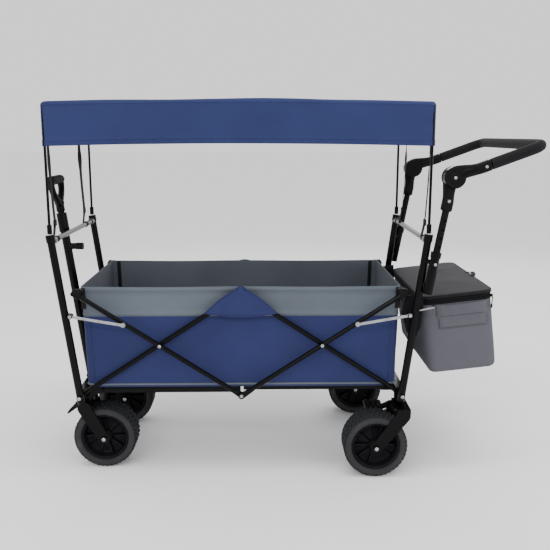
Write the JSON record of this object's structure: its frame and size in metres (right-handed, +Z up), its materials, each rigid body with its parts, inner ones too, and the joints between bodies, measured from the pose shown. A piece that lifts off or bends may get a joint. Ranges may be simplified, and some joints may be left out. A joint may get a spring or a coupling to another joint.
{
  "type": "folding camp wagon",
  "caption": "Folding camp wagon with a scissor frame, fabric tub, canopy, rear cooler bag, adjustable push handle, telescoping pull handle and wide wheels.",
  "frame": {"origin": "on the ground, below the middle of the outer length and width", "axes": "+X towards the push handle (rear), -X towards the pull handle (front), +Y to the wagon's right, +Z up"},
  "size_m": [1.4366, 0.612, 1.09],
  "materials": {
    "black_steel": "satin black powder coat",
    "grey_steel": "grey powder coat",
    "bright_steel": "zinc-plated",
    "black_plastic": "moulded, fine grain",
    "rim_plastic": "moulded",
    "tyre_rubber": "matt moulded",
    "foam": "closed-cell foam",
    "blue_fabric": "600D woven polyester",
    "navy_fabric": "woven polyester",
    "grey_fabric": "woven polyester",
    "dark_fabric": "woven polyester"
  },
  "bodies": {
    "front_frame": {"front_beam": "black_steel", "front_post_left": "black_steel", "front_post_right": "black_steel", "front_crossbar": "grey_steel", "front_canopy_hoop": "black_steel"},
    "front_lower_arms": {"front_lower_arm_left": "black_steel", "front_lower_arm_right": "black_steel"},
    "front_upper_arms": {"front_upper_arm_left": "black_steel", "front_upper_arm_right": "black_steel"},
    "rear_upper_arms": {"rear_upper_arm_left": "black_steel", "rear_upper_arm_right": "black_steel"},
    "rear_lower_arms": {"rear_lower_arm_left": "black_steel", "rear_lower_arm_right": "black_steel"},
    "rear_frame": {"rear_beam": "black_steel", "rear_post_left": "black_steel", "rear_post_right": "black_steel", "rear_crossbar": "grey_steel", "rear_canopy_hoop": "black_steel", "push_socket_left": "black_steel", "push_socket_right": "black_steel", "rear_fork_left": "black_steel", "rear_fork_right": "black_steel", "bag_body": "grey_fabric"},
    "front_links": {"front_link_left": "bright_steel", "front_link_right": "bright_steel"},
    "rear_links": {"rear_link_left": "bright_steel", "rear_link_right": "bright_steel"},
    "base_front": {"base_front": "black_steel"},
    "base_rear": {"base_rear": "black_steel"},
    "tub": {"tub": "blue_fabric", "floor_mat": "dark_fabric"},
    "canopy": {"canopy": "navy_fabric"},
    "caster_left": {"caster_left": "black_steel"},
    "front_wheel_left": {"tyre_front_left": "tyre_rubber", "rim_front_left": "rim_plastic"},
    "rear_wheel_left": {"tyre_rear_left": "tyre_rubber", "rim_rear_left": "rim_plastic"},
    "caster_lock_left": {"caster_lock_left": "black_plastic"},
    "brake_pedal_left": {"brake_pedal_left": "black_plastic"},
    "push_button_left": {"push_button_left": "bright_steel"},
    "caster_right": {"caster_right": "black_steel"},
    "front_wheel_right": {"tyre_front_right": "tyre_rubber", "rim_front_right": "rim_plastic"},
    "rear_wheel_right": {"tyre_rear_right": "tyre_rubber", "rim_rear_right": "rim_plastic"},
    "caster_lock_right": {"caster_lock_right": "black_plastic"},
    "brake_pedal_right": {"brake_pedal_right": "black_plastic"},
    "push_button_right": {"push_button_right": "bright_steel"},
    "bag_lid": {"bag_lid": "dark_fabric"},
    "push_legs": {"push_leg_left": "black_plastic", "push_leg_right": "black_plastic"},
    "push_bow": {"push_bow": "black_steel", "push_grip": "foam"},
    "pull_handle": {"pull_tube_outer": "black_steel"},
    "pull_inner": {"pull_tube_inner": "black_steel", "pull_grip": "black_plastic"},
    "pull_knob": {"pull_knob": "black_plastic"}
  },
  "joints": [
    {"name": "fold", "type": "hinge", "parent": "front_frame", "child": "front_lower_arms", "pos_m": [-0.59664, 0, 0.24], "axis": [0, -1, 0], "range_deg": [0, 40], "deforming": ["tub", "floor_mat", "canopy"]},
    {"name": "front_scissor", "type": "hinge", "parent": "front_lower_arms", "child": "front_upper_arms", "pos_m": [-0.36164, 0, 0.393], "axis": [0, -1, 0], "range_deg": [-80, 0]},
    {"name": "bottom_centre", "type": "hinge", "parent": "front_upper_arms", "child": "rear_upper_arms", "pos_m": [-0.12664, 0, 0.24], "axis": [0, -1, 0], "range_deg": [0, 80]},
    {"name": "rear_scissor", "type": "hinge", "parent": "rear_upper_arms", "child": "rear_lower_arms", "pos_m": [0.10836, 0, 0.393], "axis": [0, -1, 0], "range_deg": [-80, 0]},
    {"name": "rear_corner", "type": "hinge", "parent": "rear_lower_arms", "child": "rear_frame", "pos_m": [0.34336, 0, 0.24], "axis": [0, -1, 0], "range_deg": [0, 40]},
    {"name": "front_link_pivot", "type": "hinge", "parent": "front_frame", "child": "front_links", "pos_m": [-0.61017, 0, 0.485], "axis": [0, -1, 0], "range_deg": [0, 76]},
    {"name": "rear_link_pivot", "type": "hinge", "parent": "rear_frame", "child": "rear_links", "pos_m": [0.35689, 0, 0.485], "axis": [0, -1, 0], "range_deg": [-76, 0]},
    {"name": "base_front_hinge", "type": "hinge", "parent": "front_frame", "child": "base_front", "pos_m": [-0.54864, 0, 0.244], "axis": [0, -1, 0], "range_deg": [0, 76]},
    {"name": "base_rear_hinge", "type": "hinge", "parent": "rear_frame", "child": "base_rear", "pos_m": [0.29536, 0, 0.244], "axis": [0, -1, 0], "range_deg": [-76, 0]},
    {"name": "tub_lift", "type": "slide", "parent": "front_frame", "child": "tub", "axis": [0, 0, 1], "range_m": [0, 0.23]},
    {"name": "canopy_lift", "type": "slide", "parent": "front_frame", "child": "canopy", "axis": [0, 0, 1], "range_m": [0, 0.12]},
    {"name": "caster_swivel_left", "type": "hinge", "parent": "front_frame", "child": "caster_left", "pos_m": [-0.59664, -0.17, 0.2], "axis": [0, 0, 1], "continuous": true},
    {"name": "front_wheel_spin_left", "type": "hinge", "parent": "caster_left", "child": "front_wheel_left", "pos_m": [-0.54164, -0.17, 0.094], "axis": [0, 1, 0], "continuous": true},
    {"name": "rear_wheel_spin_left", "type": "hinge", "parent": "rear_frame", "child": "rear_wheel_left", "pos_m": [0.26636, -0.25, 0.094], "axis": [0, 1, 0], "continuous": true},
    {"name": "caster_lock_pivot_left", "type": "hinge", "parent": "caster_left", "child": "caster_lock_left", "pos_m": [-0.62464, -0.17, 0.19], "axis": [0, -1, 0], "range_deg": [-25, 0]},
    {"name": "brake_pedal_pivot_left", "type": "hinge", "parent": "rear_frame", "child": "brake_pedal_left", "pos_m": [0.32136, -0.25, 0.192], "axis": [0, -1, 0], "range_deg": [-20, 0]},
    {"name": "push_button_press_left", "type": "slide", "parent": "rear_frame", "child": "push_button_left", "axis": [0, 1, 0], "range_m": [0, 0.0035], "stiffness_N_per_m": 400},
    {"name": "caster_swivel_right", "type": "hinge", "parent": "front_frame", "child": "caster_right", "pos_m": [-0.59664, 0.17, 0.2], "axis": [0, 0, 1], "continuous": true},
    {"name": "front_wheel_spin_right", "type": "hinge", "parent": "caster_right", "child": "front_wheel_right", "pos_m": [-0.54164, 0.17, 0.094], "axis": [0, 1, 0], "continuous": true},
    {"name": "rear_wheel_spin_right", "type": "hinge", "parent": "rear_frame", "child": "rear_wheel_right", "pos_m": [0.26636, 0.25, 0.094], "axis": [0, 1, 0], "continuous": true},
    {"name": "caster_lock_pivot_right", "type": "hinge", "parent": "caster_right", "child": "caster_lock_right", "pos_m": [-0.62464, 0.17, 0.19], "axis": [0, -1, 0], "range_deg": [-25, 0]},
    {"name": "brake_pedal_pivot_right", "type": "hinge", "parent": "rear_frame", "child": "brake_pedal_right", "pos_m": [0.32136, 0.25, 0.192], "axis": [0, -1, 0], "range_deg": [-20, 0]},
    {"name": "push_button_press_right", "type": "slide", "parent": "rear_frame", "child": "push_button_right", "axis": [0, -1, 0], "range_m": [0, 0.0035], "stiffness_N_per_m": 400},
    {"name": "push_height", "type": "slide", "parent": "rear_frame", "child": "push_legs", "axis": [-0.177, 0, -0.9842], "range_m": [0, 0.0732]},
    {"name": "push_angle", "type": "hinge", "parent": "push_legs", "child": "push_bow", "pos_m": [0.46136, 0, 0.877], "axis": [0, -1, 0], "range_deg": [-60, 68]},
    {"name": "bag_lid_hinge", "type": "hinge", "parent": "rear_frame", "child": "bag_lid", "pos_m": [0.39336, 0, 0.526], "axis": [0, -1, 0], "range_deg": [0, 70]},
    {"name": "pull_pivot", "type": "hinge", "parent": "front_frame", "child": "pull_handle", "pos_m": [-0.62464, 0, 0.226], "axis": [0, -1, 0], "range_deg": [0, 86]},
    {"name": "pull_extend", "type": "slide", "parent": "pull_handle", "child": "pull_inner", "axis": [-0.1286, 0, 0.9917], "range_m": [0, 0.3]},
    {"name": "pull_knob_slide", "type": "slide", "parent": "pull_handle", "child": "pull_knob", "axis": [1, 0, 0], "range_m": [0, 0.006], "stiffness_N_per_m": 300}
  ],
  "couplings": [
    {"joint": "front_scissor", "follows": "fold", "ratio": -2},
    {"joint": "bottom_centre", "follows": "fold", "ratio": 2},
    {"joint": "rear_scissor", "follows": "fold", "ratio": -2},
    {"joint": "rear_corner", "follows": "fold", "ratio": 1},
    {"joint": "front_link_pivot", "follows": "fold", "ratio": 1.9},
    {"joint": "rear_link_pivot", "follows": "fold", "ratio": -1.9},
    {"joint": "base_front_hinge", "follows": "fold", "ratio": 1.9},
    {"joint": "base_rear_hinge", "follows": "fold", "ratio": -1.9},
    {"joint": "tub_lift", "follows": "fold", "m_per_rad": 0.32945}
  ]
}
